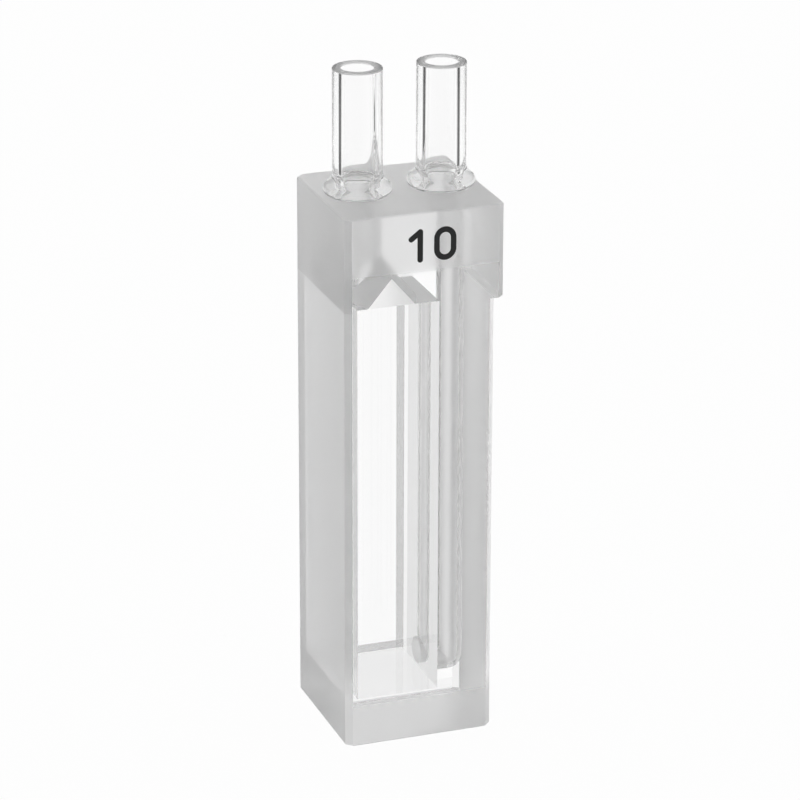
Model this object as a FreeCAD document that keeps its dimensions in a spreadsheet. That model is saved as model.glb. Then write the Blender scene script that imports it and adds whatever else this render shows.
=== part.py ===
import FreeCAD, Part
import math
import os

import Sketcher

# Flow-through cell of fused quartz: a square cell body made of two polished windows, two side walls and
# a base round a sample chamber, a head block that stands out on one side, and two glass tubes on top.
# Liquid enters by the right tube, runs down the channel in the thick wall, enters the chamber at its
# floor, rises and leaves by the left tube.
# The origin is the middle of the bottom face of the cell body. The front window faces -Y, +Z is up.

SIZES = [
    # the cell body
    ("body_width", 12.5),
    ("body_depth", 12.5),
    ("body_height", 37.25),
    ("window_thickness", 1.25),
    ("left_thickness", 1.2),
    ("chamber_width", 6.85),
    ("base_thickness", 3.75),
    ("edge_chamfer", 0.5),
    # the head block
    ("head_height", 7.75),
    ("head_overhang", 0.75),
    # the roof over the chamber, which leads bubbles to the outlet hole
    ("vent_ridge", 2.2),
    ("vent_width", 5.6),
    ("vent_depth", 3.3),
    ("vent_end_depth", 2.3),
    # the way of the liquid
    ("channel_bore", 2.3),
    ("port_bore", 2.2),
    ("port_lift", 0.15),
    # the glass tubes
    ("tube_pitch", 7.0),
    ("tube_diameter", 4.0),
    ("tube_bore", 2.6),
    ("inlet_length", 10.2),
    ("outlet_length", 10.35),
    ("rim_round", 0.12),
    ("collar_diameter", 5.5),
    ("collar_bead", 0.5),
    ("collar_flare", 1.2),
]

document = FreeCAD.newDocument("flow_through_cell")


def fill_sheet():
    """Put the driving dimensions in a spreadsheet, one row each."""
    sheet = document.addObject("Spreadsheet::Sheet", "sizes")
    for row, (alias, value) in enumerate(SIZES, start=1):
        sheet.set(f"A{row}", alias)
        sheet.set(f"B{row}", str(value))
        sheet.setAlias(f"B{row}", alias)
    document.recompute()
    return sheet


sizes = fill_sheet()

# Places that several pieces share, as expressions on the sheet.
HALF_WIDTH = "sizes.body_width / 2"
HALF_DEPTH = "sizes.body_depth / 2"
HALF_CHAMBER_DEPTH = "(sizes.body_depth / 2 - sizes.window_thickness)"
WALL_HEIGHT = "sizes.body_height - sizes.base_thickness"
OUTLET_X = "(sizes.head_overhang - sizes.tube_pitch) / 2"
INLET_X = "(sizes.head_overhang + sizes.tube_pitch) / 2"
CHAMBER_RIGHT = "(sizes.left_thickness + sizes.chamber_width - sizes.body_width / 2)"
HEAD_TOP = "sizes.body_height + sizes.head_height"
PORT_AXIS = "sizes.port_lift + sizes.port_bore / 2"

# The direction that every sketch faces, in its own plane.
NORMAL = FreeCAD.Vector(0, 0, 1)


def new_body(name, x="0", y="0", z="0"):
    """Start one piece, with its own origin at the given place."""
    body = document.addObject("PartDesign::Body", name)
    body.Label = name
    body.setExpression("Placement.Base.x", x)
    body.setExpression("Placement.Base.y", y)
    body.setExpression("Placement.Base.z", z)
    return body


def new_sketch(body, name, role):
    """Start a sketch on one of the body's own origin planes."""
    plane = next(item for item in body.Origin.OriginFeatures if item.Role == role)
    sketch = body.newObject("Sketcher::SketchObject", name)
    sketch.AttachmentSupport = [(plane, "")]
    sketch.MapMode = "FlatFace"
    return sketch


def value_of(expression):
    """The number that an expression on the sheet gives now."""
    return float(sizes.evalExpression(expression))


def bind(sketch, constraint, name, expression):
    """Add a dimension to the sketch and bind it to the sheet."""
    index = sketch.addConstraint(constraint)
    sketch.renameConstraint(index, name)
    sketch.setExpression(f"Constraints.{name}", expression)


def draw_rectangle(sketch, left, right, front, rear):
    """A rectangle that reaches the given distances from the sketch's origin."""
    west = -value_of(left)
    east = value_of(right)
    south = -value_of(front)
    north = value_of(rear)
    corners = [
        FreeCAD.Vector(west, south, 0),
        FreeCAD.Vector(east, south, 0),
        FreeCAD.Vector(east, north, 0),
        FreeCAD.Vector(west, north, 0),
    ]
    lines = [
        sketch.addGeometry(Part.LineSegment(corners[side], corners[(side + 1) % 4]))
        for side in range(4)
    ]
    for side, line in enumerate(lines):
        sketch.addConstraint(Sketcher.Constraint("Coincident", line, 2, lines[(side + 1) % 4], 1))
        direction = "Horizontal" if side % 2 == 0 else "Vertical"
        sketch.addConstraint(Sketcher.Constraint(direction, line))
    bind(sketch, Sketcher.Constraint("DistanceX", lines[0], 1, -1, 1, -west), "left", left)
    bind(sketch, Sketcher.Constraint("DistanceX", -1, 1, lines[1], 1, east), "right", right)
    bind(sketch, Sketcher.Constraint("DistanceY", lines[0], 1, -1, 1, -south), "front", front)
    bind(sketch, Sketcher.Constraint("DistanceY", -1, 1, lines[2], 1, north), "rear", rear)


def pad_rectangle(body, left, right, front, rear, height):
    """A block on the XY plane, the start of every plate and wall."""
    sketch = new_sketch(body, f"{body.Name}_outline", "XY_Plane")
    draw_rectangle(sketch, left, right, front, rear)
    pad = body.newObject("PartDesign::Pad", f"{body.Name}_block")
    pad.Profile = sketch
    pad.setExpression("Length", height)
    document.recompute()
    return pad


def edges_where(feature, test):
    """Names of the feature's edges whose middle point passes the test."""
    names = []
    for number, edge in enumerate(feature.Shape.Edges, start=1):
        middle = edge.valueAt((edge.FirstParameter + edge.LastParameter) / 2)
        if test(middle):
            names.append(f"Edge{number}")
    return names


def chamfer_edges(body, base, names):
    """Bevel the named edges of the base feature."""
    chamfer = body.newObject("PartDesign::Chamfer", f"{body.Name}_bevels")
    chamfer.Base = (base, names)
    chamfer.setExpression("Size", "sizes.edge_chamfer")
    document.recompute()
    return chamfer


def near(first, second):
    """Whether two coordinates are the same place."""
    return abs(first - second) < 1e-6


def make_window(name, outward):
    """A polished window plate, bevelled along its two upright outer edges."""
    middle = f"{outward} * (sizes.body_depth - sizes.window_thickness) / 2"
    body = new_body(name, y=middle)
    half = "sizes.window_thickness / 2"
    block = pad_rectangle(body, HALF_WIDTH, HALF_WIDTH, half, half, "sizes.body_height")
    outer = outward * value_of("sizes.window_thickness") / 2
    side = value_of(HALF_WIDTH)
    names = edges_where(block, lambda point: near(abs(point.x), side) and near(point.y, outer))
    chamfer_edges(body, block, names)
    return body


def make_left_wall():
    """The thin wall on the left of the chamber."""
    middle = "(sizes.left_thickness - sizes.body_width) / 2"
    body = new_body("left_wall", x=middle, z="sizes.base_thickness")
    half = "sizes.left_thickness / 2"
    pad_rectangle(body, half, half, HALF_CHAMBER_DEPTH, HALF_CHAMBER_DEPTH, WALL_HEIGHT)
    return body


def make_channel_wall():
    """The thick wall with the channel drilled down it and the port at its foot.

    The piece's own origin is on the channel's axis, at the chamber floor.
    """
    body = new_body("channel_wall", x=INLET_X, z="sizes.base_thickness")
    left = f"{INLET_X} - {CHAMBER_RIGHT}"
    right = f"{HALF_WIDTH} - {INLET_X}"
    pad_rectangle(body, left, right, HALF_CHAMBER_DEPTH, HALF_CHAMBER_DEPTH, WALL_HEIGHT)
    drill_channel(body)
    drill_port(body)
    return body


def drill_channel(body):
    """The round channel, from the top of the wall down to a ball end at the port."""
    sketch = new_sketch(body, "channel_profile", "XZ_Plane")
    radius = value_of("sizes.channel_bore / 2")
    axis = value_of(PORT_AXIS)
    top = value_of(WALL_HEIGHT)
    points = {
        "tip": FreeCAD.Vector(0, axis - radius, 0),
        "ball_side": FreeCAD.Vector(radius, axis, 0),
        "mouth_side": FreeCAD.Vector(radius, top, 0),
        "mouth": FreeCAD.Vector(0, top, 0),
    }
    centre = FreeCAD.Vector(0, axis, 0)
    ball = sketch.addGeometry(Part.ArcOfCircle(Part.Circle(centre, NORMAL, radius), -math.pi / 2, 0))
    side = sketch.addGeometry(Part.LineSegment(points["ball_side"], points["mouth_side"]))
    mouth = sketch.addGeometry(Part.LineSegment(points["mouth_side"], points["mouth"]))
    axis_line = sketch.addGeometry(Part.LineSegment(points["mouth"], points["tip"]))
    sketch.addConstraint(Sketcher.Constraint("Tangent", ball, 2, side, 1))
    sketch.addConstraint(Sketcher.Constraint("Coincident", side, 2, mouth, 1))
    sketch.addConstraint(Sketcher.Constraint("Coincident", mouth, 2, axis_line, 1))
    sketch.addConstraint(Sketcher.Constraint("Coincident", axis_line, 2, ball, 1))
    sketch.addConstraint(Sketcher.Constraint("PointOnObject", ball, 3, -2))
    sketch.addConstraint(Sketcher.Constraint("PointOnObject", axis_line, 2, -2))
    sketch.addConstraint(Sketcher.Constraint("Vertical", side))
    sketch.addConstraint(Sketcher.Constraint("Vertical", axis_line))
    sketch.addConstraint(Sketcher.Constraint("Horizontal", mouth))
    bind(sketch, Sketcher.Constraint("Radius", ball, radius), "channel_radius", "sizes.channel_bore / 2")
    bind(sketch, Sketcher.Constraint("DistanceY", -1, 1, ball, 3, axis), "port_axis", PORT_AXIS)
    bind(sketch, Sketcher.Constraint("DistanceY", -1, 1, mouth, 1, top), "wall_top", WALL_HEIGHT)
    groove = body.newObject("PartDesign::Groove", "channel")
    groove.Profile = sketch
    groove.ReferenceAxis = (sketch, ["V_Axis"])
    groove.Angle = 360
    document.recompute()


def drill_port(body):
    """The short cross bore from the channel's foot into the chamber."""
    sketch = new_sketch(body, "port_circle", "YZ_Plane")
    radius = value_of("sizes.port_bore / 2")
    axis = value_of(PORT_AXIS)
    circle = Part.Circle(FreeCAD.Vector(0, axis, 0), NORMAL, radius)
    ring = sketch.addGeometry(circle)
    sketch.addConstraint(Sketcher.Constraint("PointOnObject", ring, 3, -2))
    bind(sketch, Sketcher.Constraint("Radius", ring, radius), "port_radius", "sizes.port_bore / 2")
    bind(sketch, Sketcher.Constraint("DistanceY", -1, 1, ring, 3, axis), "port_axis", PORT_AXIS)
    before = body.Shape.Volume
    pocket = body.newObject("PartDesign::Pocket", "port")
    pocket.Profile = sketch
    pocket.Type = "ThroughAll"
    document.recompute()
    if body.Shape.Volume >= before:
        raise ValueError("the port cuts nothing out of the channel wall")


def make_base_block():
    """The floor of the chamber."""
    body = new_body("base_block")
    pad_rectangle(body, HALF_WIDTH, HALF_WIDTH, HALF_CHAMBER_DEPTH, HALF_CHAMBER_DEPTH, "sizes.base_thickness")
    return body


def make_head_block():
    """The thick block over the cell body, with its vent underneath and a hole under each tube."""
    body = new_body("head_block", z="sizes.body_height")
    right = f"{HALF_WIDTH} + sizes.head_overhang"
    block = pad_rectangle(body, HALF_WIDTH, right, HALF_DEPTH, HALF_DEPTH, "sizes.head_height")
    top = value_of("sizes.head_height")
    names = edges_where(block, lambda point: 1e-6 < point.z < top - 1e-6)
    chamfer_edges(body, block, names)
    cut_vent(body)
    drill_head(body)
    return body


def cut_vent(body):
    """The roof over the chamber, a groove of V section that is deepest in the middle."""
    end_width = "sizes.vent_width * sizes.vent_end_depth / sizes.vent_depth"
    front = draw_vent_section(body, "vent_front", HALF_CHAMBER_DEPTH, end_width, "sizes.vent_end_depth")
    middle = draw_vent_section(body, "vent_middle", "0", "sizes.vent_width", "sizes.vent_depth")
    rear = draw_vent_section(body, "vent_rear", f"-{HALF_CHAMBER_DEPTH}", end_width, "sizes.vent_end_depth")
    before = body.Shape.Volume
    loft = body.newObject("PartDesign::SubtractiveLoft", "vent")
    loft.Profile = front
    loft.Sections = [middle, rear]
    loft.Ruled = True
    document.recompute()
    if body.Shape.Volume >= before:
        raise ValueError("the vent cuts nothing out of the head block")


def draw_vent_section(body, name, forward, width, depth):
    """One V of the vent, the given distance in front of the middle of the head."""
    sketch = new_sketch(body, name, "XZ_Plane")
    sketch.setExpression("AttachmentOffset.Base.z", forward)
    half = value_of(width) / 2
    ridge = value_of("sizes.vent_ridge")
    height = value_of(depth)
    left = FreeCAD.Vector(-ridge - half, 0, 0)
    right = FreeCAD.Vector(half - ridge, 0, 0)
    tip = FreeCAD.Vector(-ridge, height, 0)
    mouth = sketch.addGeometry(Part.LineSegment(left, right))
    right_slope = sketch.addGeometry(Part.LineSegment(right, tip))
    left_slope = sketch.addGeometry(Part.LineSegment(tip, left))
    sketch.addConstraint(Sketcher.Constraint("Coincident", mouth, 2, right_slope, 1))
    sketch.addConstraint(Sketcher.Constraint("Coincident", right_slope, 2, left_slope, 1))
    sketch.addConstraint(Sketcher.Constraint("Coincident", left_slope, 2, mouth, 1))
    sketch.addConstraint(Sketcher.Constraint("PointOnObject", mouth, 1, -1))
    sketch.addConstraint(Sketcher.Constraint("PointOnObject", mouth, 2, -1))
    sketch.addConstraint(Sketcher.Constraint("Equal", right_slope, left_slope))
    bind(sketch, Sketcher.Constraint("DistanceX", mouth, 1, mouth, 2, 2 * half), "width", width)
    bind(sketch, Sketcher.Constraint("DistanceX", right_slope, 2, -1, 1, ridge), "ridge", "sizes.vent_ridge")
    bind(sketch, Sketcher.Constraint("DistanceY", -1, 1, right_slope, 2, height), "depth", depth)
    return sketch


def drill_head(body):
    """The outlet hole over the chamber and the inlet hole over the channel."""
    sketch = new_sketch(body, "head_hole_circles", "XY_Plane")
    radius = value_of("sizes.channel_bore / 2")
    outlet_reach = "(sizes.tube_pitch - sizes.head_overhang) / 2"
    outlet_centre = FreeCAD.Vector(-value_of(outlet_reach), 0, 0)
    inlet_centre = FreeCAD.Vector(value_of(INLET_X), 0, 0)
    outlet = sketch.addGeometry(Part.Circle(outlet_centre, NORMAL, radius))
    inlet = sketch.addGeometry(Part.Circle(inlet_centre, NORMAL, radius))
    for hole in (outlet, inlet):
        sketch.addConstraint(Sketcher.Constraint("PointOnObject", hole, 3, -1))
    sketch.addConstraint(Sketcher.Constraint("Equal", outlet, inlet))
    bind(sketch, Sketcher.Constraint("Radius", inlet, radius), "hole_radius", "sizes.channel_bore / 2")
    bind(
        sketch,
        Sketcher.Constraint("DistanceX", outlet, 3, -1, 1, -outlet_centre.x),
        "outlet_reach",
        outlet_reach,
    )
    bind(sketch, Sketcher.Constraint("DistanceX", -1, 1, inlet, 3, inlet_centre.x), "inlet_reach", INLET_X)
    before = body.Shape.Volume
    pocket = body.newObject("PartDesign::Pocket", "head_holes")
    pocket.Profile = sketch
    pocket.Type = "ThroughAll"
    pocket.Reversed = True
    document.recompute()
    if body.Shape.Volume >= before:
        raise ValueError("the holes cut nothing out of the head block")


def make_tube(name, x, length):
    """A glass tube, revolved with the collar that its melted foot forms on the head."""
    body = new_body(name, x=x, z=HEAD_TOP)
    sketch = new_sketch(body, f"{name}_profile", "XZ_Plane")
    draw_tube_profile(sketch, length)
    turned = body.newObject("PartDesign::Revolution", f"{name}_turned")
    turned.Profile = sketch
    turned.ReferenceAxis = (sketch, ["V_Axis"])
    turned.Angle = 360
    document.recompute()
    top = value_of(length)
    rims = edges_where(turned, lambda point: near(point.z, top))
    fillet = body.newObject("PartDesign::Fillet", f"{name}_rim")
    fillet.Base = (turned, rims)
    fillet.setExpression("Radius", "sizes.rim_round")
    document.recompute()
    return body


def draw_tube_profile(sketch, length):
    """Half the section of a tube: wall, rim, concave flare and the round bead that it ends in.

    The flare leaves the wall and meets the bead without a corner, and the bead ends flat on the head.
    """
    bore = value_of("sizes.tube_bore / 2")
    wall = value_of("sizes.tube_diameter / 2")
    top = value_of(length)
    bead = value_of("sizes.collar_bead")
    bead_centre_x = value_of("sizes.collar_diameter / 2 - sizes.collar_bead")
    flare = value_of("sizes.collar_flare")
    flare_centre_x = wall + flare
    rise = math.sqrt((flare + bead) ** 2 - (flare_centre_x - bead_centre_x) ** 2)
    bead_centre = FreeCAD.Vector(bead_centre_x, bead, 0)
    flare_centre = FreeCAD.Vector(flare_centre_x, bead + rise, 0)
    turn = math.atan2(rise, flare_centre_x - bead_centre_x)

    inner = sketch.addGeometry(Part.LineSegment(FreeCAD.Vector(bore, 0, 0), FreeCAD.Vector(bore, top, 0)))
    rim = sketch.addGeometry(Part.LineSegment(FreeCAD.Vector(bore, top, 0), FreeCAD.Vector(wall, top, 0)))
    outer_foot = FreeCAD.Vector(wall, flare_centre.y, 0)
    outer = sketch.addGeometry(Part.LineSegment(FreeCAD.Vector(wall, top, 0), outer_foot))
    flare_circle = Part.Circle(flare_centre, NORMAL, flare)
    flare_arc = sketch.addGeometry(Part.ArcOfCircle(flare_circle, math.pi, math.pi + turn))
    bead_circle = Part.Circle(bead_centre, NORMAL, bead)
    bead_arc = sketch.addGeometry(Part.ArcOfCircle(bead_circle, -math.pi / 2, turn))
    bead_foot = FreeCAD.Vector(bead_centre_x, 0, 0)
    foot = sketch.addGeometry(Part.LineSegment(bead_foot, FreeCAD.Vector(bore, 0, 0)))

    sketch.addConstraint(Sketcher.Constraint("Coincident", inner, 2, rim, 1))
    sketch.addConstraint(Sketcher.Constraint("Coincident", rim, 2, outer, 1))
    sketch.addConstraint(Sketcher.Constraint("Tangent", outer, 2, flare_arc, 1))
    sketch.addConstraint(Sketcher.Constraint("Tangent", flare_arc, 2, bead_arc, 2))
    sketch.addConstraint(Sketcher.Constraint("Tangent", bead_arc, 1, foot, 1))
    sketch.addConstraint(Sketcher.Constraint("Coincident", foot, 2, inner, 1))
    sketch.addConstraint(Sketcher.Constraint("PointOnObject", foot, 2, -1))
    for line in (inner, outer):
        sketch.addConstraint(Sketcher.Constraint("Vertical", line))
    for line in (rim, foot):
        sketch.addConstraint(Sketcher.Constraint("Horizontal", line))
    bind(sketch, Sketcher.Constraint("DistanceX", -1, 1, inner, 1, bore), "bore", "sizes.tube_bore / 2")
    bind(sketch, Sketcher.Constraint("DistanceX", -1, 1, outer, 1, wall), "wall", "sizes.tube_diameter / 2")
    bind(sketch, Sketcher.Constraint("DistanceY", -1, 1, rim, 1, top), "top", length)
    bind(sketch, Sketcher.Constraint("Radius", flare_arc, flare), "flare", "sizes.collar_flare")
    bind(sketch, Sketcher.Constraint("Radius", bead_arc, bead), "bead", "sizes.collar_bead")
    bind(
        sketch,
        Sketcher.Constraint("DistanceX", -1, 1, bead_arc, 3, bead_centre_x),
        "bead_centre",
        "sizes.collar_diameter / 2 - sizes.collar_bead",
    )


def check_document():
    """Stop if any object failed or any piece is not a sound solid."""
    for item in document.Objects:
        if "Invalid" in item.State or "Error" in item.State:
            raise ValueError(f"{item.Name} failed: {item.State}")
        if item.isDerivedFrom("Sketcher::SketchObject") and item.solve() != 0:
            raise ValueError(f"{item.Name} does not solve")


def write_piece(body):
    """Check one piece and write its file, named after the piece."""
    shape = body.Shape
    if shape.isNull() or not shape.isValid() or len(shape.Solids) != 1:
        raise ValueError(f"{body.Label} is not one sound solid")
    shape.exportStep(f"parts/{body.Label}.step")
    print(body.Label, round(shape.Volume, 3))


def main():
    """Make every piece, check them all and write their files."""
    bodies = [
        make_window("front_window", -1),
        make_window("rear_window", 1),
        make_left_wall(),
        make_channel_wall(),
        make_base_block(),
        make_head_block(),
        make_tube("inlet_tube", INLET_X, "sizes.inlet_length"),
        make_tube("outlet_tube", OUTLET_X, "sizes.outlet_length"),
    ]
    document.recompute()
    check_document()
    os.makedirs("parts", exist_ok=True)
    for body in bodies:
        write_piece(body)


main()
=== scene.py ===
import math

import bmesh
import bpy
from mathutils import Matrix, Vector


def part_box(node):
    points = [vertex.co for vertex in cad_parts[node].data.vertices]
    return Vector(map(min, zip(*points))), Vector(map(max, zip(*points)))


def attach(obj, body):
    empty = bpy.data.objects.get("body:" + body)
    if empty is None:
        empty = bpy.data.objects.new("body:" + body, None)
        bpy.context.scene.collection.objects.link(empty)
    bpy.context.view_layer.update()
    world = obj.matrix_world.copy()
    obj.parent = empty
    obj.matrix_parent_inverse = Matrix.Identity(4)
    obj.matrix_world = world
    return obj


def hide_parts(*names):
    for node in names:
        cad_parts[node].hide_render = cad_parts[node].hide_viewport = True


# The look of a fused quartz flow-through cell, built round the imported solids.
# The eight solids of the model are one piece of glass on the real object, so light has to pass from one to
# the next without a surface between them. This script builds that one piece again, from the boxes of the
# nodes, with its chamber, vent, channel, port and tube bores cut out, and shows it in their place.

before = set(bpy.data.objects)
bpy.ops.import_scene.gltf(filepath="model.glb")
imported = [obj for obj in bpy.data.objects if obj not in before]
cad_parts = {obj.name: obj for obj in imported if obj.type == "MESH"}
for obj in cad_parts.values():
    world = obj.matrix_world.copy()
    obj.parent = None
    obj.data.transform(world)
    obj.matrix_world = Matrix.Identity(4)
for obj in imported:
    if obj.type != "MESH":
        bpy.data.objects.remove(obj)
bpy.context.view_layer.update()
bpy.context.scene.view_settings.view_transform = "Standard"

MM = 0.001

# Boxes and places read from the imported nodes.
window_low, window_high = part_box("front_window")
rear_low, rear_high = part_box("rear_window")
left_low, left_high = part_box("left_wall")
channel_low, channel_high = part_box("channel_wall")
base_low, base_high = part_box("base_block")
head_low, head_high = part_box("head_block")
inlet_low, inlet_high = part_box("inlet_tube")
outlet_low, outlet_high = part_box("outlet_tube")

INLET_X = (inlet_low.x + inlet_high.x) / 2
OUTLET_X = (outlet_low.x + outlet_high.x) / 2
CHAMBER_LOW = Vector((left_high.x, window_high.y, base_high.z))
CHAMBER_HIGH = Vector((channel_low.x, rear_low.y, head_low.z))

# Sizes that the boxes don't tell, the same as in the model.
EDGE_CHAMFER = 0.5 * MM
FINE_BEVEL = 0.1 * MM
CHANNEL_RADIUS = 1.15 * MM
PORT_RADIUS = 1.1 * MM
PORT_LIFT = 0.15 * MM
TUBE_RADIUS = 2.0 * MM
BORE_RADIUS = 1.3 * MM
COLLAR_RADIUS = 2.75 * MM
COLLAR_BEAD = 0.5 * MM
COLLAR_FLARE = 1.2 * MM
RIM_ROUND = 0.12 * MM
VENT_RIDGE_X = -2.2 * MM
VENT_WIDTH = 5.6 * MM
VENT_DEPTH = 3.3 * MM
VENT_END_DEPTH = 2.3 * MM

# The port stands this much clear of the channel's lowest point, so that the two cuts don't touch there.
PORT_CLEAR = 0.004 * MM
# The rear face is ground up to this height and polished above it.
REAR_POLISH_START = 1 * MM

# The block has eight upright sides, counted from the front to the right. The odd ones are its cut edges.
SIDES = 8
FRONT_SIDE = 0
REAR_SIDE = 4

# Into how many pieces round forms are divided, and from what angle an edge shows as sharp.
ROUND_STEPS = 128
ARC_STEPS = 14
RIM_STEPS = 5
VENT_STEPS = 16
PILL_STEPS = 24
SHARP_ANGLE = math.radians(25)

# Corners nearer than this are one corner, and a smaller radius than this is a point on the axis.
SAME_PLACE = 1e-8
ON_AXIS = 1e-9

# How far a cutter or a root runs past the surface that it meets.
TUBE_ROOT = 0.3 * MM
BREAK_THROUGH = 0.3 * MM

QUARTZ_IOR = 1.458
# What the finishes are made of: a roughness, which spreads the light that is bent, a milky share, which
# scatters light all ways, and a tone, the part of the light that isn't swallowed.
GROUND_ROUGHNESS = 0.6
FINE_ROUGHNESS = 0.42
BORED_ROUGHNESS = 0.45
CUT_ROUGHNESS = 0.7
GROUND_MILKY = 0.35
FINE_MILKY = 0.12
BORED_MILKY = 0.15
CUT_MILKY = 0.5
END_ROUGHNESS = 0.4
EDGE_ROUGHNESS = 0.35
GROUND_TONE = 0.97
# Painted shade: the underside of the head's overhang gets a darker tone than the other ground faces,
# standing in for the shade on it.
UNDERSIDE_SHADE_TONE = 0.85
# Painted shade: the head's upright faces, all but the front, get a darker tone than the body's, standing in
# for the shade on them.
HEAD_SIDE_SHADE_TONE = 0.87
PORT_MILKY = 0.6

# Of the milky share, the part that is thrown back and not passed on.
MATT_SHARE = 0.2

# Roughness of the front against height.
FRONT_FINISH = (
    (0, 0.42),
    (3.4 * MM, 0.4),
    (3.75 * MM, 0),
    (39.7 * MM, 0),
    (40.3 * MM, 0.32),
    (45 * MM, 0.32),
)

# The fine grain of the ground faces and the long, low waves of the polished ones.
GRAIN_SCALE = 6000
GRAIN_DETAIL = 3
GRAIN_HEIGHT = 0.004 * MM
WAVE_SCALE = 150
WAVE_HEIGHT = 0.0007 * MM

# The material of each kind of outer face. The rest is ground.
KIND_MATERIALS = {
    "window": "clear_quartz",
    "front": "front_quartz",
    "head_front": "front_quartz",
    # painted shade: a darker copy of the ground glass
    "underside": "underside_shade_quartz",
    "side": "fine_quartz",
    "bottom": "edge_quartz",
    "edge": "edge_quartz",
    # painted shade: a darker copy of the ground glass
    "head_side": "head_side_shade_quartz",
}

NODES = (
    "front_window",
    "rear_window",
    "left_wall",
    "channel_wall",
    "base_block",
    "head_block",
    "inlet_tube",
    "outlet_tube",
)

# The printed number on the front of the head: middle of each figure, its height and its pen.
ONE_X = -0.35 * MM
ZERO_X = 1.95 * MM
MARK_MIDDLE_Z = 42.3 * MM
MARK_TALL = 2.75 * MM
MARK_WIDE = 1.85 * MM
MARK_PEN = 0.46 * MM
INK_PROUD = 0.02 * MM
INK_SUNK = 0.01 * MM

# Parts of the width of a figure: the stem of the one from its middle, and the run and drop of its flag.
STEM_SHIFT = 0.12
FLAG_RUN = 0.4
FLAG_DROP = 0.3

INK_ROUGHNESS = 0.55
INK_GRAIN_SCALE = 9000
INK_DARKEST = 0.006
INK_LIGHTEST = 0.02

# The camera. Its angles are in degrees, its lens and sensor in millimetres.
CAMERA_AZIMUTH = 19.781
CAMERA_ELEVATION = 20.9794
CAMERA_ROLL = 0.1411
CAMERA_DISTANCE = 328.371 * MM
CAMERA_TARGET = Vector((1.119, 1.785, 26.369)) * MM
CAMERA_LENS = 182.02
CAMERA_SENSOR = 36
CAMERA_NEAREST = 0.01
CAMERA_FARTHEST = 20

# Brightness from the camera's side, 0, to behind the object, 1.
ROUND_LEVELS = ((0, 0.58), (0.35, 0.72), (0.5, 0.95), (0.6, 1), (1, 1))
# Brightness against height, from straight down, 0, past the horizon, 0.5, to the very top, 1.
SKY_LEVELS = ((0, 1), (0.47, 1), (0.5, 0.6), (0.52, 0.06), (0.63, 0.06), (0.68, 0.85), (1, 0.85))
# Where the dark panels stand, on the same two scales, and how dark they are.
PANEL_SIDES = ((0.66, 0), (0.7, 0.92), (0.8, 0.92), (0.86, 0))
PANEL_HEIGHTS = ((0.2, 0), (0.23, 1), (0.33, 1), (0.36, 0))

FLOOR_RADIUS = 3
FLOOR_GAP = 0.02 * MM
# How white the floor shines of itself to the camera. The rest shows the shadow.
FLOOR_GLOW = 0.97
FLOOR_TONE = 0.9
FLOOR_ROUGHNESS = 0.9
FLOOR_STEPS = 64

# How often light may bounce or bend on its way through the glass.
GLASS_BOUNCES = 24

# The colour sockets of a Mix node.
MIX_FIRST = 6
MIX_SECOND = 7
MIX_RESULT = 2


def principled(name):
    """A new material with its shader and node tree."""
    material = bpy.data.materials.new(name)
    material.use_nodes = True
    tree = material.node_tree
    return material, tree, tree.nodes["Principled BSDF"]


def grey_ramp(tree, levels, source):
    """A colour ramp of greys, fed by a value from 0 to 1. The levels are pairs of place and brightness."""
    ramp = tree.nodes.new("ShaderNodeValToRGB")
    stops = ramp.color_ramp.elements
    (first_place, first_level), *between, (last_place, last_level) = levels
    stops[0].position = first_place
    stops[0].color = (first_level, first_level, first_level, 1)
    stops[1].position = last_place
    stops[1].color = (last_level, last_level, last_level, 1)
    for place, level in between:
        stops.new(place).color = (level, level, level, 1)
    tree.links.new(source, ramp.inputs["Fac"])
    return ramp.outputs["Color"]


def clear_quartz():
    """Optically polished quartz, whose surface is a little wavy."""
    material, tree, shader = principled("clear_quartz")
    shader.inputs["Base Color"].default_value = (1, 1, 1, 1)
    shader.inputs["Roughness"].default_value = 0
    shader.inputs["IOR"].default_value = QUARTZ_IOR
    shader.inputs["Transmission Weight"].default_value = 1
    waves = tree.nodes.new("ShaderNodeTexNoise")
    waves.inputs["Scale"].default_value = WAVE_SCALE
    waves.inputs["Detail"].default_value = 0
    relief = tree.nodes.new("ShaderNodeBump")
    relief.inputs["Strength"].default_value = 1
    relief.inputs["Distance"].default_value = WAVE_HEIGHT
    place = tree.nodes.new("ShaderNodeTexCoord")
    tree.links.new(place.outputs["Object"], waves.inputs["Vector"])
    tree.links.new(waves.outputs["Fac"], relief.inputs["Height"])
    tree.links.new(relief.outputs["Normal"], shader.inputs["Normal"])
    return material


def front_quartz():
    """Quartz that is polished over the windows and fades to a satin finish up the head and on the base."""
    material, tree, shader = principled("front_quartz")
    shader.inputs["Base Color"].default_value = (1, 1, 1, 1)
    shader.inputs["IOR"].default_value = QUARTZ_IOR
    shader.inputs["Transmission Weight"].default_value = 1
    place = tree.nodes.new("ShaderNodeTexCoord")
    parts = tree.nodes.new("ShaderNodeSeparateXYZ")
    tree.links.new(place.outputs["Object"], parts.inputs["Vector"])
    span = tree.nodes.new("ShaderNodeMapRange")
    span.inputs["From Max"].default_value = head_high.z
    tree.links.new(parts.outputs["Z"], span.inputs["Value"])
    levels = [(height / head_high.z, roughness) for height, roughness in FRONT_FINISH]
    tree.links.new(grey_ramp(tree, levels, span.outputs["Result"]), shader.inputs["Roughness"])
    return material


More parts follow.
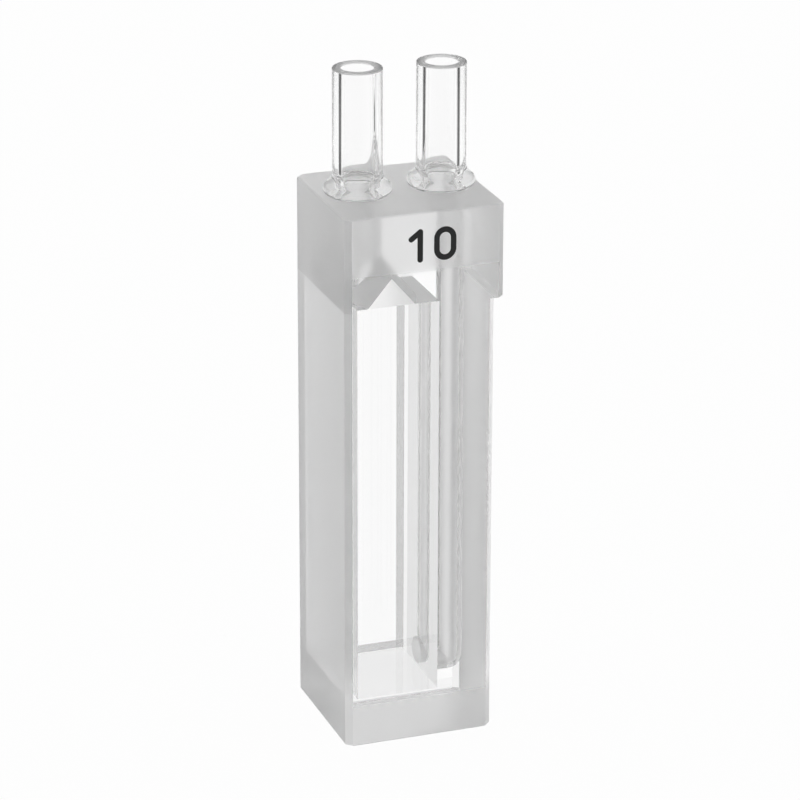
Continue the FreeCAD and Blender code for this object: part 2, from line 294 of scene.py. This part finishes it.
def ground_quartz(name, roughness, milky, tone=GROUND_TONE):
    """Quartz ground matt: most light is bent and spread, the milky share is scattered all ways."""
    material, tree, shader = principled(name)
    shader.inputs["Base Color"].default_value = (tone, tone, tone, 1)
    shader.inputs["Roughness"].default_value = roughness
    shader.inputs["IOR"].default_value = QUARTZ_IOR
    shader.inputs["Transmission Weight"].default_value = 1
    grain = tree.nodes.new("ShaderNodeTexNoise")
    grain.inputs["Scale"].default_value = GRAIN_SCALE
    grain.inputs["Detail"].default_value = GRAIN_DETAIL
    place = tree.nodes.new("ShaderNodeTexCoord")
    relief = tree.nodes.new("ShaderNodeBump")
    relief.inputs["Strength"].default_value = 1
    relief.inputs["Distance"].default_value = GRAIN_HEIGHT
    through = tree.nodes.new("ShaderNodeBsdfTranslucent")
    through.inputs["Color"].default_value = (tone, tone, tone, 1)
    matt = tree.nodes.new("ShaderNodeBsdfDiffuse")
    matt.inputs["Color"].default_value = (tone, tone, tone, 1)
    scatter = tree.nodes.new("ShaderNodeMixShader")
    scatter.inputs["Fac"].default_value = MATT_SHARE
    whole = tree.nodes.new("ShaderNodeMixShader")
    whole.inputs["Fac"].default_value = milky
    tree.links.new(place.outputs["Object"], grain.inputs["Vector"])
    tree.links.new(grain.outputs["Fac"], relief.inputs["Height"])
    tree.links.new(relief.outputs["Normal"], shader.inputs["Normal"])
    tree.links.new(through.outputs["BSDF"], scatter.inputs[1])
    tree.links.new(matt.outputs["BSDF"], scatter.inputs[2])
    tree.links.new(shader.outputs["BSDF"], whole.inputs[1])
    tree.links.new(scatter.outputs["Shader"], whole.inputs[2])
    tree.links.new(whole.outputs["Shader"], tree.nodes["Material Output"].inputs["Surface"])
    return material


def black_ink():
    """Matt printed ink, a little uneven."""
    material, tree, shader = principled("black_ink")
    shader.inputs["Roughness"].default_value = INK_ROUGHNESS
    grain = tree.nodes.new("ShaderNodeTexNoise")
    grain.inputs["Scale"].default_value = INK_GRAIN_SCALE
    tone = tree.nodes.new("ShaderNodeValToRGB")
    tone.color_ramp.elements[0].color = (INK_DARKEST, INK_DARKEST, INK_DARKEST, 1)
    tone.color_ramp.elements[1].color = (INK_LIGHTEST, INK_LIGHTEST, INK_LIGHTEST, 1)
    tree.links.new(grain.outputs["Fac"], tone.inputs["Fac"])
    tree.links.new(tone.outputs["Color"], shader.inputs["Base Color"])
    return material


def mesh_object(name, verts, faces, materials):
    """A new object in the scene, made of these corners and faces."""
    mesh = bpy.data.meshes.new(name)
    mesh.from_pydata([tuple(v) for v in verts], [], faces)
    for material in materials:
        mesh.materials.append(material)
    mesh.validate()
    piece = bpy.data.objects.new(name, mesh)
    bpy.context.scene.collection.objects.link(piece)
    return piece


def octagon(low_x, high_x, low_y, high_y, cut, z):
    """The corners of a rectangle with cut corners, anticlockwise from the front edge."""
    return [
        Vector((low_x + cut, low_y, z)),
        Vector((high_x - cut, low_y, z)),
        Vector((high_x, low_y + cut, z)),
        Vector((high_x, high_y - cut, z)),
        Vector((high_x - cut, high_y, z)),
        Vector((low_x + cut, high_y, z)),
        Vector((low_x, high_y - cut, z)),
        Vector((low_x, low_y + cut, z)),
    ]


def outer_block(materials):
    """The outside of body and head as one closed mesh, and the kind of each of its faces."""
    cut = EDGE_CHAMFER
    fine = FINE_BEVEL
    low, high = base_low.x, base_high.x
    front, rear = window_low.y, rear_high.y
    rings = [
        octagon(low + fine, high - fine, front + fine, rear - fine, cut, base_low.z),
        octagon(low, high, front, rear, cut, base_low.z + fine),
        octagon(low, high, front, rear, cut, REAR_POLISH_START),
        octagon(low, high, front, rear, cut, head_low.z),
        octagon(head_low.x, head_high.x, front, rear, cut, head_low.z),
        octagon(head_low.x, head_high.x, front, rear, cut, head_high.z - fine),
        octagon(head_low.x + fine, head_high.x - fine, front + fine, rear - fine, cut, head_high.z),
    ]
    verts = [v for ring in rings for v in ring]
    # where the corners of each ring start
    foot, base, polished, body, head, shoulder, crown = range(0, len(verts), SIDES)
    faces = []
    kinds = []

    def band(lower, upper, kind_of):
        for side in range(SIDES):
            follow = (side + 1) % SIDES
            faces.append([lower + side, lower + follow, upper + follow, upper + side])
            kinds.append(kind_of(side))

    def upright(side, rear_kind):
        if side == FRONT_SIDE:
            return "front"
        if side == REAR_SIDE:
            return rear_kind
        return "edge" if side % 2 else "side"

    faces.append([foot + side for side in reversed(range(SIDES))])
    kinds.append("bottom")
    band(foot, base, lambda side: "bevel")
    band(base, polished, lambda side: upright(side, "side"))
    band(polished, body, lambda side: upright(side, "window"))
    # the underside of the part of the head that stands out on the right
    faces.append([body + 1, body + 2, body + 3, body + 4, head + 4, head + 3, head + 2, head + 1])
    kinds.append("underside")
    # the body's right corners lie on the lower edge of the head's front and rear
    for side in range(SIDES):
        follow = (side + 1) % SIDES
        face = [head + side, head + follow, shoulder + follow, shoulder + side]
        if side == FRONT_SIDE:
            face.insert(1, body + 1)
        if side == REAR_SIDE:
            face.insert(1, body + 4)
        faces.append(face)
        kinds.append("head_front" if side == FRONT_SIDE else "head_side")
    band(shoulder, crown, lambda side: "bevel")
    faces.append([crown + side for side in range(SIDES)])
    kinds.append("top")
    piece = mesh_object("outer_block", verts, faces, materials)
    bm = bmesh.new()
    bm.from_mesh(piece.data)
    bmesh.ops.remove_doubles(bm, verts=bm.verts, dist=SAME_PLACE)
    bm.to_mesh(piece.data)
    bm.free()
    return piece, kinds


def revolve(name, profile, centre_x, materials):
    """A closed solid turned round a vertical axis. The profile runs from the axis out and back to it."""
    verts = []
    faces = []
    rows = []
    for radius, height in profile:
        if radius < ON_AXIS:
            rows.append([len(verts)])
            verts.append((centre_x, 0, height))
            continue
        row = []
        for step in range(ROUND_STEPS):
            angle = 2 * math.pi * (step + 0.5) / ROUND_STEPS
            row.append(len(verts))
            verts.append((centre_x + radius * math.cos(angle), radius * math.sin(angle), height))
        rows.append(row)
    for lower, upper in zip(rows, rows[1:]):
        for step in range(ROUND_STEPS):
            follow = (step + 1) % ROUND_STEPS
            if len(lower) == 1:
                faces.append([lower[0], upper[follow], upper[step]])
            elif len(upper) == 1:
                faces.append([lower[step], lower[follow], upper[0]])
            else:
                faces.append([lower[step], lower[follow], upper[follow], upper[step]])
    return mesh_object(name, verts, faces, materials)


def bend(centre_radius, centre_height, radius, start, end, steps=ARC_STEPS):
    """Points of an arc in a profile, given as radius from the axis and height."""
    points = []
    for step in range(steps + 1):
        angle = start + (end - start) * step / steps
        points.append((centre_radius + radius * math.cos(angle), centre_height + radius * math.sin(angle)))
    return points


def tube_outside(name, centre_x, seat, top, material):
    """The outside of a tube, with the bead and flare at its foot, reaching down into the head."""
    bead_radius = COLLAR_RADIUS - COLLAR_BEAD
    flare_radius = TUBE_RADIUS + COLLAR_FLARE
    reach = COLLAR_BEAD + COLLAR_FLARE
    rise = math.sqrt(reach ** 2 - (flare_radius - bead_radius) ** 2)
    turn = math.atan2(rise, flare_radius - bead_radius)
    profile = [(0, seat - TUBE_ROOT), (bead_radius, seat - TUBE_ROOT)]
    profile += bend(bead_radius, seat + COLLAR_BEAD, COLLAR_BEAD, -math.pi / 2, turn)
    profile += bend(flare_radius, seat + COLLAR_BEAD + rise, COLLAR_FLARE, math.pi + turn, math.pi)[1:]
    profile += bend(TUBE_RADIUS - RIM_ROUND, top - RIM_ROUND, RIM_ROUND, 0, math.pi / 2, RIM_STEPS)
    profile.append((0, top))
    return revolve(name, profile, centre_x, [material])


def passage(name, foot, centre_x, seat, top, materials):
    """The space of a hole and of the tube over it, past the open rim. Its profile starts at the foot."""
    rim = BORE_RADIUS + RIM_ROUND
    profile = [*foot, (CHANNEL_RADIUS, seat), (BORE_RADIUS, seat)]
    profile += bend(rim, top - RIM_ROUND, RIM_ROUND, math.pi, math.pi / 2, RIM_STEPS)
    profile += [(rim, top + TUBE_ROOT), (0, top + TUBE_ROOT)]
    piece = revolve(name, profile, centre_x, materials)
    for face in piece.data.polygons:
        if face.center.z > seat:
            face.material_index = 1
    return piece


def cuboid(name, low, high, material):
    """A box from its low corner to its high one."""
    verts = []
    for z in (low.z, high.z):
        verts += [(low.x, low.y, z), (high.x, low.y, z), (high.x, high.y, z), (low.x, high.y, z)]
    faces = [[3, 2, 1, 0], [4, 5, 6, 7], [0, 1, 5, 4], [1, 2, 6, 5], [2, 3, 7, 6], [3, 0, 4, 7]]
    return mesh_object(name, verts, faces, [material])


def vent_space(materials):
    """The roof over the chamber: a groove of V section along it, deepest in the middle."""
    spread = VENT_WIDTH / 2 / VENT_DEPTH
    middle = (CHAMBER_LOW.y + CHAMBER_HIGH.y) / 2
    reach = (CHAMBER_HIGH.y - CHAMBER_LOW.y) / 2
    ceiling = CHAMBER_HIGH.z
    verts = []
    for step in range(VENT_STEPS + 1):
        along = 2 * step / VENT_STEPS - 1
        depth = VENT_DEPTH - (VENT_DEPTH - VENT_END_DEPTH) * along ** 2
        left = VENT_RIDGE_X - spread * depth
        right = VENT_RIDGE_X + spread * depth
        y = middle + reach * along
        verts += [
            (left, y, ceiling - BREAK_THROUGH),
            (right, y, ceiling - BREAK_THROUGH),
            (right, y, ceiling),
            (VENT_RIDGE_X, y, ceiling + depth),
            (left, y, ceiling),
        ]
    corners = 5
    near_end = list(range(corners))
    far_end = [VENT_STEPS * corners + corner for corner in reversed(near_end)]
    faces = [near_end, far_end]
    for step in range(VENT_STEPS):
        for corner in range(corners):
            start = corners * step + corner
            follow = corners * step + (corner + 1) % corners
            faces.append([follow, start, start + corners, follow + corners])
    piece = mesh_object("vent", verts, faces, materials)
    for end in piece.data.polygons[:2]:
        end.material_index = 1
    return piece


def combine(target, other, operation):
    """Joins the other mesh to the target or cuts it out, and removes it. All faces keep their materials."""
    modifier = target.modifiers.new("combine", "BOOLEAN")
    modifier.operation = operation
    modifier.solver = "EXACT"
    modifier.material_mode = "TRANSFER"
    modifier.object = other
    bpy.context.view_layer.update()
    solved = target.evaluated_get(bpy.context.evaluated_depsgraph_get())
    mesh = bpy.data.meshes.new_from_object(solved)
    target.modifiers.clear()
    target.data = mesh
    bpy.data.objects.remove(other)


def quartz_cell():
    """Body, head and tubes as one piece of glass, with every space inside cut out of it."""
    clear = clear_quartz()
    ground = ground_quartz("ground_quartz", GROUND_ROUGHNESS, GROUND_MILKY)
    bored = ground_quartz("bored_quartz", BORED_ROUGHNESS, BORED_MILKY)
    # painted shade: a darker copy of the ground glass for the overhang's underside
    underside_shade = ground_quartz("underside_shade_quartz", GROUND_ROUGHNESS, GROUND_MILKY, UNDERSIDE_SHADE_TONE)
    fine = ground_quartz("fine_quartz", FINE_ROUGHNESS, FINE_MILKY)
    cut = ground_quartz("cut_quartz", CUT_ROUGHNESS, CUT_MILKY)
    edge = ground_quartz("edge_quartz", EDGE_ROUGHNESS, 0, 1)
    # painted shade: a darker copy of the ground glass for the head's upright faces
    head_side_shade = ground_quartz("head_side_shade_quartz", GROUND_ROUGHNESS, GROUND_MILKY, HEAD_SIDE_SHADE_TONE)
    cell, kinds = outer_block([clear, ground, front_quartz(), underside_shade, fine, cut, edge, head_side_shade])
    places = {material.name: place for place, material in enumerate(cell.data.materials)}
    for face, kind in zip(cell.data.polygons, kinds):
        face.material_index = places[KIND_MATERIALS.get(kind, "ground_quartz")]
    seat = head_high.z
    combine(cell, tube_outside("inlet", INLET_X, seat, inlet_high.z, clear), "UNION")
    combine(cell, tube_outside("outlet", OUTLET_X, seat, outlet_high.z, clear), "UNION")
    combine(cell, cuboid("chamber", CHAMBER_LOW, CHAMBER_HIGH, clear), "DIFFERENCE")
    combine(cell, vent_space([ground, ground_quartz("vent_end", END_ROUGHNESS, 0)]), "DIFFERENCE")

    channel_end = CHAMBER_LOW.z + PORT_LIFT
    ball = bend(0, channel_end + CHANNEL_RADIUS, CHANNEL_RADIUS, -math.pi / 2, 0)
    # exactly on the axis
    ball[0] = (0, channel_end)
    channel = passage("channel", ball, INLET_X, seat, inlet_high.z, [bored, clear])
    combine(cell, channel, "DIFFERENCE")
    below = CHAMBER_HIGH.z - BREAK_THROUGH
    foot = [(0, below), (CHANNEL_RADIUS, below)]
    hole = passage("outlet_hole", foot, OUTLET_X, seat, outlet_high.z, [bored, clear])
    combine(cell, hole, "DIFFERENCE")

    length = INLET_X - CHAMBER_HIGH.x + BREAK_THROUGH
    profile = [(0, 0), (PORT_RADIUS, 0), (PORT_RADIUS, length), (0, length)]
    port = revolve("port", profile, 0, [ground_quartz("port_quartz", GROUND_ROUGHNESS, PORT_MILKY)])
    place = Matrix.Translation((INLET_X, 0, channel_end + PORT_CLEAR + PORT_RADIUS))
    port.data.transform(place @ Matrix.Rotation(-math.pi / 2, 4, "Y"))
    combine(cell, port, "DIFFERENCE")

    cell.name = "quartz_cell"
    cut_place = list(cell.data.materials).index(cut)
    for face in cell.data.polygons:
        face.use_smooth = True
        on_inlet = face.center.x > (INLET_X + OUTLET_X) / 2
        top = inlet_high.z if on_inlet else outlet_high.z
        if face.center.z > top - RIM_ROUND:
            face.material_index = cut_place
    cell.data.set_sharp_from_angle(angle=SHARP_ANGLE)
    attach(cell, "root")
    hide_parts(*NODES)


def pill(name, start, end, half_width, material):
    """A thin plate with round ends on the front face, from one point to another, given as x and z."""
    along = (end - start).normalized()
    turn = math.atan2(along.y, along.x)
    outline = []
    for centre, first in ((start, turn + math.pi / 2), (end, turn - math.pi / 2)):
        for step in range(PILL_STEPS + 1):
            angle = first + math.pi * step / PILL_STEPS
            outline.append(centre + half_width * Vector((math.cos(angle), math.sin(angle))))
    count = len(outline)
    front = window_low.y - INK_PROUD
    back = window_low.y + INK_SUNK
    verts = [(p.x, front, p.y) for p in outline] + [(p.x, back, p.y) for p in outline]
    faces = [list(range(count)), list(range(2 * count - 1, count - 1, -1))]
    for step in range(count):
        follow = (step + 1) % count
        faces.append([follow, step, count + step, count + follow])
    return mesh_object(name, verts, faces, [material])


def number_mark():
    """The figures one and nought in black ink."""
    ink = black_ink()
    half_pen = MARK_PEN / 2
    top = MARK_MIDDLE_Z + MARK_TALL / 2 - half_pen
    bottom = MARK_MIDDLE_Z - MARK_TALL / 2 + half_pen
    stem_x = ONE_X + MARK_WIDE * STEM_SHIFT
    head_of_stem = Vector((stem_x, top))
    one = pill("mark_one", Vector((stem_x, bottom)), head_of_stem, half_pen, ink)
    flag_end = head_of_stem + Vector((-MARK_WIDE * FLAG_RUN, -MARK_WIDE * FLAG_DROP))
    combine(one, pill("flag", flag_end, head_of_stem, half_pen, ink), "UNION")
    one.name = "mark_one"

    half_wide = MARK_WIDE / 2
    low = Vector((ZERO_X, MARK_MIDDLE_Z - MARK_TALL / 2 + half_wide))
    high = Vector((ZERO_X, MARK_MIDDLE_Z + MARK_TALL / 2 - half_wide))
    nought = pill("mark_nought", low, high, half_wide, ink)
    combine(nought, pill("inside", low, high, half_wide - MARK_PEN, ink), "DIFFERENCE")
    for piece in (one, nought):
        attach(piece, "root")


def camera():
    """The photograph's viewpoint, fitted to the edges of the object."""
    azimuth = math.radians(CAMERA_AZIMUTH)
    elevation = math.radians(CAMERA_ELEVATION)
    roll = math.radians(CAMERA_ROLL)
    level = math.cos(elevation)
    back = Vector((-math.sin(azimuth) * level, -math.cos(azimuth) * level, math.sin(elevation)))
    right = (-back).cross(Vector((0, 0, 1))).normalized()
    up = back.cross(right)
    rolled_right = right * math.cos(roll) + up * math.sin(roll)
    rolled_up = up * math.cos(roll) - right * math.sin(roll)
    turn = Matrix((rolled_right, rolled_up, back)).transposed().to_4x4()
    view = bpy.data.cameras.new("camera")
    view.lens = CAMERA_LENS
    view.sensor_width = CAMERA_SENSOR
    view.clip_start = CAMERA_NEAREST
    view.clip_end = CAMERA_FARTHEST
    holder = bpy.data.objects.new("camera", view)
    bpy.context.scene.collection.objects.link(holder)
    holder.matrix_world = Matrix.Translation(CAMERA_TARGET + back * CAMERA_DISTANCE) @ turn
    bpy.context.scene.camera = holder
    return back


def multiply(tree, first, second):
    """The product of two colours."""
    product = tree.nodes.new("ShaderNodeMix")
    product.data_type = "RGBA"
    product.blend_type = "MULTIPLY"
    product.inputs["Factor"].default_value = 1
    tree.links.new(first, product.inputs[MIX_FIRST])
    tree.links.new(second, product.inputs[MIX_SECOND])
    return product.outputs[MIX_RESULT]


def from_unit(tree, value):
    """Brings a value between -1 and 1 to between 0 and 1."""
    span = tree.nodes.new("ShaderNodeMapRange")
    span.inputs["From Min"].default_value = -1
    tree.links.new(value, span.inputs["Value"])
    return span.outputs["Result"]


def studio(back):
    """A white world, with a darker sky and two dark panels in what the glass reflects and bends."""
    world = bpy.data.worlds.new("studio")
    bpy.context.scene.world = world
    world.use_nodes = True
    tree = world.node_tree
    place = tree.nodes.new("ShaderNodeTexCoord")
    toward = tree.nodes.new("ShaderNodeVectorMath")
    toward.operation = "DOT_PRODUCT"
    toward.inputs[1].default_value = Vector((-back.x, -back.y, 0)).normalized()
    tree.links.new(place.outputs["Generated"], toward.inputs[0])
    parts = tree.nodes.new("ShaderNodeSeparateXYZ")
    tree.links.new(place.outputs["Generated"], parts.inputs["Vector"])
    around = from_unit(tree, toward.outputs["Value"])
    height = from_unit(tree, parts.outputs["Z"])

    light = multiply(tree, grey_ramp(tree, ROUND_LEVELS, around), grey_ramp(tree, SKY_LEVELS, height))
    panel_side = grey_ramp(tree, PANEL_SIDES, around)
    panel = multiply(tree, panel_side, grey_ramp(tree, PANEL_HEIGHTS, height))
    unlit = tree.nodes.new("ShaderNodeInvert")
    tree.links.new(panel, unlit.inputs["Color"])
    light = multiply(tree, light, unlit.outputs["Color"])

    rays = tree.nodes.new("ShaderNodeLightPath")
    pick = tree.nodes.new("ShaderNodeMix")
    pick.data_type = "RGBA"
    pick.inputs[MIX_SECOND].default_value = (1, 1, 1, 1)
    tree.links.new(rays.outputs["Is Camera Ray"], pick.inputs["Factor"])
    tree.links.new(light, pick.inputs[MIX_FIRST])
    tree.links.new(pick.outputs[MIX_RESULT], tree.nodes["Background"].inputs["Color"])


def floor():
    """A plain white floor, which the camera sees, with the object's soft shadow on it."""
    bm = bmesh.new()
    bmesh.ops.create_circle(bm, cap_ends=True, segments=FLOOR_STEPS, radius=FLOOR_RADIUS)
    mesh = bpy.data.meshes.new("floor")
    bm.to_mesh(mesh)
    bm.free()
    ground = bpy.data.objects.new("floor", mesh)
    bpy.context.scene.collection.objects.link(ground)
    ground.location.z = -FLOOR_GAP
    material, tree, shader = principled("floor")
    shader.inputs["Base Color"].default_value = (FLOOR_TONE, FLOOR_TONE, FLOOR_TONE, 1)
    shader.inputs["Roughness"].default_value = FLOOR_ROUGHNESS
    glow = tree.nodes.new("ShaderNodeEmission")
    seen = tree.nodes.new("ShaderNodeMixShader")
    seen.inputs["Fac"].default_value = FLOOR_GLOW
    clear = tree.nodes.new("ShaderNodeBsdfTransparent")
    rays = tree.nodes.new("ShaderNodeLightPath")
    final = tree.nodes.new("ShaderNodeMixShader")
    tree.links.new(shader.outputs["BSDF"], seen.inputs[1])
    tree.links.new(glow.outputs["Emission"], seen.inputs[2])
    tree.links.new(rays.outputs["Is Camera Ray"], final.inputs["Fac"])
    tree.links.new(clear.outputs["BSDF"], final.inputs[1])
    tree.links.new(seen.outputs["Shader"], final.inputs[2])
    tree.links.new(final.outputs["Shader"], tree.nodes["Material Output"].inputs["Surface"])
    mesh.materials.append(material)


quartz_cell()
number_mark()
studio(camera())
floor()

bpy.context.scene.cycles.max_bounces = GLASS_BOUNCES
bpy.context.scene.cycles.glossy_bounces = GLASS_BOUNCES
bpy.context.scene.cycles.transmission_bounces = GLASS_BOUNCES
